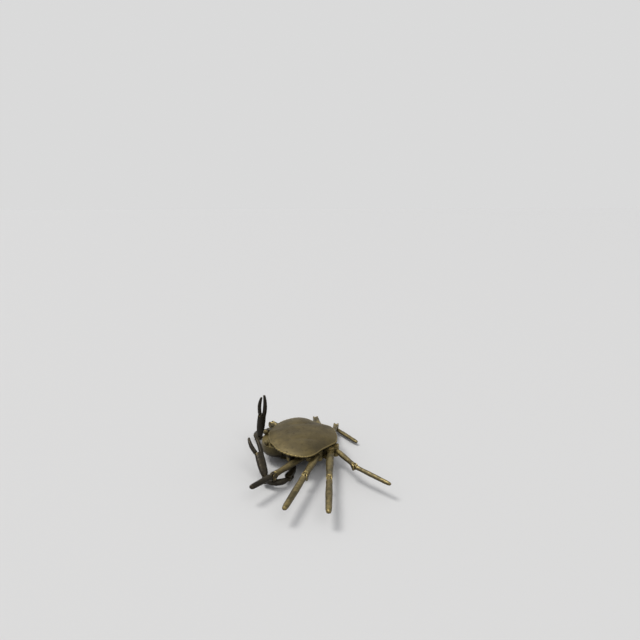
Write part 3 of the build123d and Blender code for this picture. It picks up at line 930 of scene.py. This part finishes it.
class CRAB_OT_arms(bpy.types.Operator):
    """Dress both arms, from the shoulder to the claw"""

    bl_idname = "crab.arms"
    bl_label = "Dress the arms"

    def execute(self, context):
        self.claws = claw_brass()
        paint(slot_nodes("dark_brass"), self.claws)
        for word, sign in sides.items():
            self.add_upper_arm(word, sign)
            self.add_forearm(word, sign)
            self.add_claw(word)
        return {"FINISHED"}

    def add_upper_arm(self, word, sign):
        """The upper arm's skin, carried along an arc that slopes down to the elbow."""
        size = sizes()
        shoulder, elbow = place_of(f"{word}_shoulder"), place_of(f"{word}_elbow")
        fall = shoulder[2] - elbow[2]
        flat_end = elbow + up * fall
        along = np.linspace(*upper_arm_span_shares, arm_rings)
        across = np.cross(up, unit(flat_end - shoulder)) * sign
        middle, heading = arc_line(shoulder, flat_end, across, size.arm_bulge, along)
        middle = middle - (fall * fall_share(along))[:, None] * up
        line = (middle, np.cross(up, heading), np.tile(up, (arm_rings, 1)))
        surface = limb_surface(line, arm_shape_shares, size.arm_width, size.arm_height, size.ridge)
        add_piece(f"{word}_upper_arm_skin", [surface], f"{word}_upper_arm", self.claws)

    def add_forearm(self, word, sign):
        """The forearm's skin, carried along a deep arc between the elbow and the wrist."""
        size = sizes()
        elbow, wrist = place_of(f"{word}_elbow"), place_of(f"{word}_wrist")
        along = np.linspace(*forearm_span_shares, arm_rings)
        across = np.cross(up, unit(wrist - elbow)) * sign
        middle, heading = arc_line(elbow, wrist, across, size.forearm_bulge, along)
        line = (middle, np.cross(up, heading), np.tile(up, (arm_rings, 1)))
        surface = limb_surface(line, forearm_shape_shares, size.forearm_width, size.arm_height, size.ridge)
        add_piece(f"{word}_forearm_skin", [surface], f"{word}_forearm", self.claws)

    def add_claw(self, word):
        """The palm and its two fingers, ovals carried along lines; half a sine wave bows the fingers."""
        size = sizes()
        wrist, knuckle, forward, side, top = claw_frame(word)
        along = np.linspace(0, 1, arm_rings)[:, None]
        bow = size.claw_bow * np.sin(math.pi * along)
        palm = wrist + forward * (size.shin_start + (size.palm_length - size.shin_start) * along)
        off = (size.palm_width - size.finger_width) / 2
        shift = (off - size.tip_offset) * along ** 2 - off - bow * fixed_bow_share
        reach = size.claw_length - size.palm_length + size.finger_lap + size.tip_cover
        finger = wrist + forward * (size.palm_length - size.finger_lap + reach * along) + side * shift
        hand = [self.claw_surface(palm, side, top, palm_shape_shares, size.palm_width, size.palm_height),
                self.finger_surface(finger, side, top)]
        add_piece(f"{word}_palm_skin", hand, f"{word}_palm", self.claws)
        end = tip_of(node_points(f"{word}_finger"), knuckle)
        way = unit(end - knuckle)
        across = np.cross(top, way)
        if across @ side < 0:
            across = -across
        start = knuckle + way * size.shin_start
        finger = start + (end + way * size.tip_cover - start) * along + across * bow * moving_bow_share
        surface = self.finger_surface(finger, across, top)
        add_piece(f"{word}_finger_skin", [surface], f"{word}_finger", self.claws)

    def claw_surface(self, middle, side, top, shape, width, height, blunt=limb_blunt_share):
        """One smooth surface of the claw along its middle line, with no ridge."""
        line = (middle, np.tile(side, (arm_rings, 1)), np.tile(top, (arm_rings, 1)))
        return limb_surface(line, shape, width, height, 0.0, blunt=blunt)

    def finger_surface(self, middle, side, top):
        """One finger's surface along its middle line."""
        size = sizes()
        return self.claw_surface(middle, side, top, finger_shape_shares, size.finger_width,
                                 size.finger_height, finger_blunt_share)


# Stage


class CRAB_OT_stage(bpy.types.Operator):
    """Set the floor, the lamps, the world and the camera"""

    bl_idname = "crab.stage"
    bl_label = "Set the stage"

    def execute(self, context):
        stage = context.scene.crab_stage
        self.add_floor(stage.floor_half)
        self.add_world(context.scene, stage)
        for lamp in lamps:
            self.add_lamp(*lamp)
        self.add_camera(context.scene, stage)
        context.scene.view_settings.view_transform = "Standard"
        return {"FINISHED"}

    def add_floor(self, half):
        """A flat pale square at the height that the crab rests on."""
        mesh = bpy.data.meshes.new("floor")
        corners = [(-half, -half, 0), (half, -half, 0), (half, half, 0), (-half, half, 0)]
        mesh.from_pydata(corners, [], [(0, 1, 2, 3)])
        floor = bpy.data.objects.new("floor", mesh)
        bpy.context.scene.collection.objects.link(floor)
        shader = Shader("Floor")
        sockets = {"Base Color": rgba(look().floor_colour), "Roughness": 0.85}
        mesh.materials.append(shader.close(shader.node("ShaderNodeBsdfPrincipled", {}, sockets)[0]))

    def add_world(self, scene, stage):
        """Soft light from all round, with a pale background that only the camera sees."""
        world = bpy.data.worlds.new("studio")
        world.use_nodes = True
        nodes, links = world.node_tree.nodes, world.node_tree.links
        nodes.clear()
        rays = nodes.new("ShaderNodeLightPath")
        soft = nodes.new("ShaderNodeBackground")
        soft.inputs["Color"].default_value = rgba(stage.sky_colour)
        soft.inputs["Strength"].default_value = stage.sky_strength
        pale = nodes.new("ShaderNodeBackground")
        pale.inputs["Color"].default_value = rgba(stage.background_colour)
        pale.inputs["Strength"].default_value = 1.0
        mixed = nodes.new("ShaderNodeMixShader")
        links.new(rays.outputs["Is Camera Ray"], mixed.inputs[0])
        links.new(soft.outputs[0], mixed.inputs[1])
        links.new(pale.outputs[0], mixed.inputs[2])
        output = nodes.new("ShaderNodeOutputWorld")
        links.new(mixed.outputs[0], output.inputs["Surface"])
        scene.world = world

    def add_lamp(self, name, place, spread, power):
        """A sun lamp that shines from a place towards the crab."""
        lamp = bpy.data.lights.new(name, "SUN")
        lamp.angle = spread
        lamp.energy = power
        holder = bpy.data.objects.new(name, lamp)
        holder.location = place
        holder.rotation_mode = "QUATERNION"
        holder.rotation_quaternion = (-Vector(place)).to_track_quat("-Z", "Y")
        bpy.context.scene.collection.objects.link(holder)

    def add_camera(self, scene, stage):
        """The camera at the photograph's height, heading and pitch."""
        lens = bpy.data.cameras.new("camera")
        lens.lens = stage.lens
        lens.sensor_width = sensor_width_mm
        camera = bpy.data.objects.new("camera", lens)
        camera.location = stage.camera_place
        heading, pitch = stage.camera_heading, stage.camera_pitch
        level = math.cos(pitch)
        way = Vector((-math.cos(heading) * level, math.sin(heading) * level, -math.sin(pitch)))
        camera.rotation_mode = "QUATERNION"
        camera.rotation_quaternion = way.to_track_quat("-Z", "Y")
        scene.collection.objects.link(camera)
        scene.camera = camera


class CRAB_PT_panel(bpy.types.Panel):
    """The crab's operators and settings"""

    bl_idname = "CRAB_PT_panel"
    bl_label = "Brass crab"
    bl_space_type = "VIEW_3D"
    bl_region_type = "UI"
    bl_category = "Crab"

    def draw(self, context):
        for operator in steps:
            self.layout.operator(operator.bl_idname)
        for group in (context.scene.crab_finish, context.scene.crab_sizes, context.scene.crab_stage):
            for name in group.__annotations__:
                self.layout.prop(group, name)


steps = (CRAB_OT_shell, CRAB_OT_body, CRAB_OT_legs, CRAB_OT_arms, CRAB_OT_stage)
classes = (CrabFinish, CrabSizes, CrabStage, *steps, CRAB_PT_panel)


def register():
    for made in classes:
        bpy.utils.register_class(made)
    bpy.types.Scene.crab_finish = bpy.props.PointerProperty(type=CrabFinish)
    bpy.types.Scene.crab_sizes = bpy.props.PointerProperty(type=CrabSizes)
    bpy.types.Scene.crab_stage = bpy.props.PointerProperty(type=CrabStage)


def unregister():
    del bpy.types.Scene.crab_stage
    del bpy.types.Scene.crab_sizes
    del bpy.types.Scene.crab_finish
    for made in reversed(classes):
        bpy.utils.unregister_class(made)


def main():
    register()
    bpy.ops.crab.shell()
    bpy.ops.crab.body()
    bpy.ops.crab.legs()
    bpy.ops.crab.arms()
    bpy.ops.crab.stage()


if __name__ == "__main__":
    main()
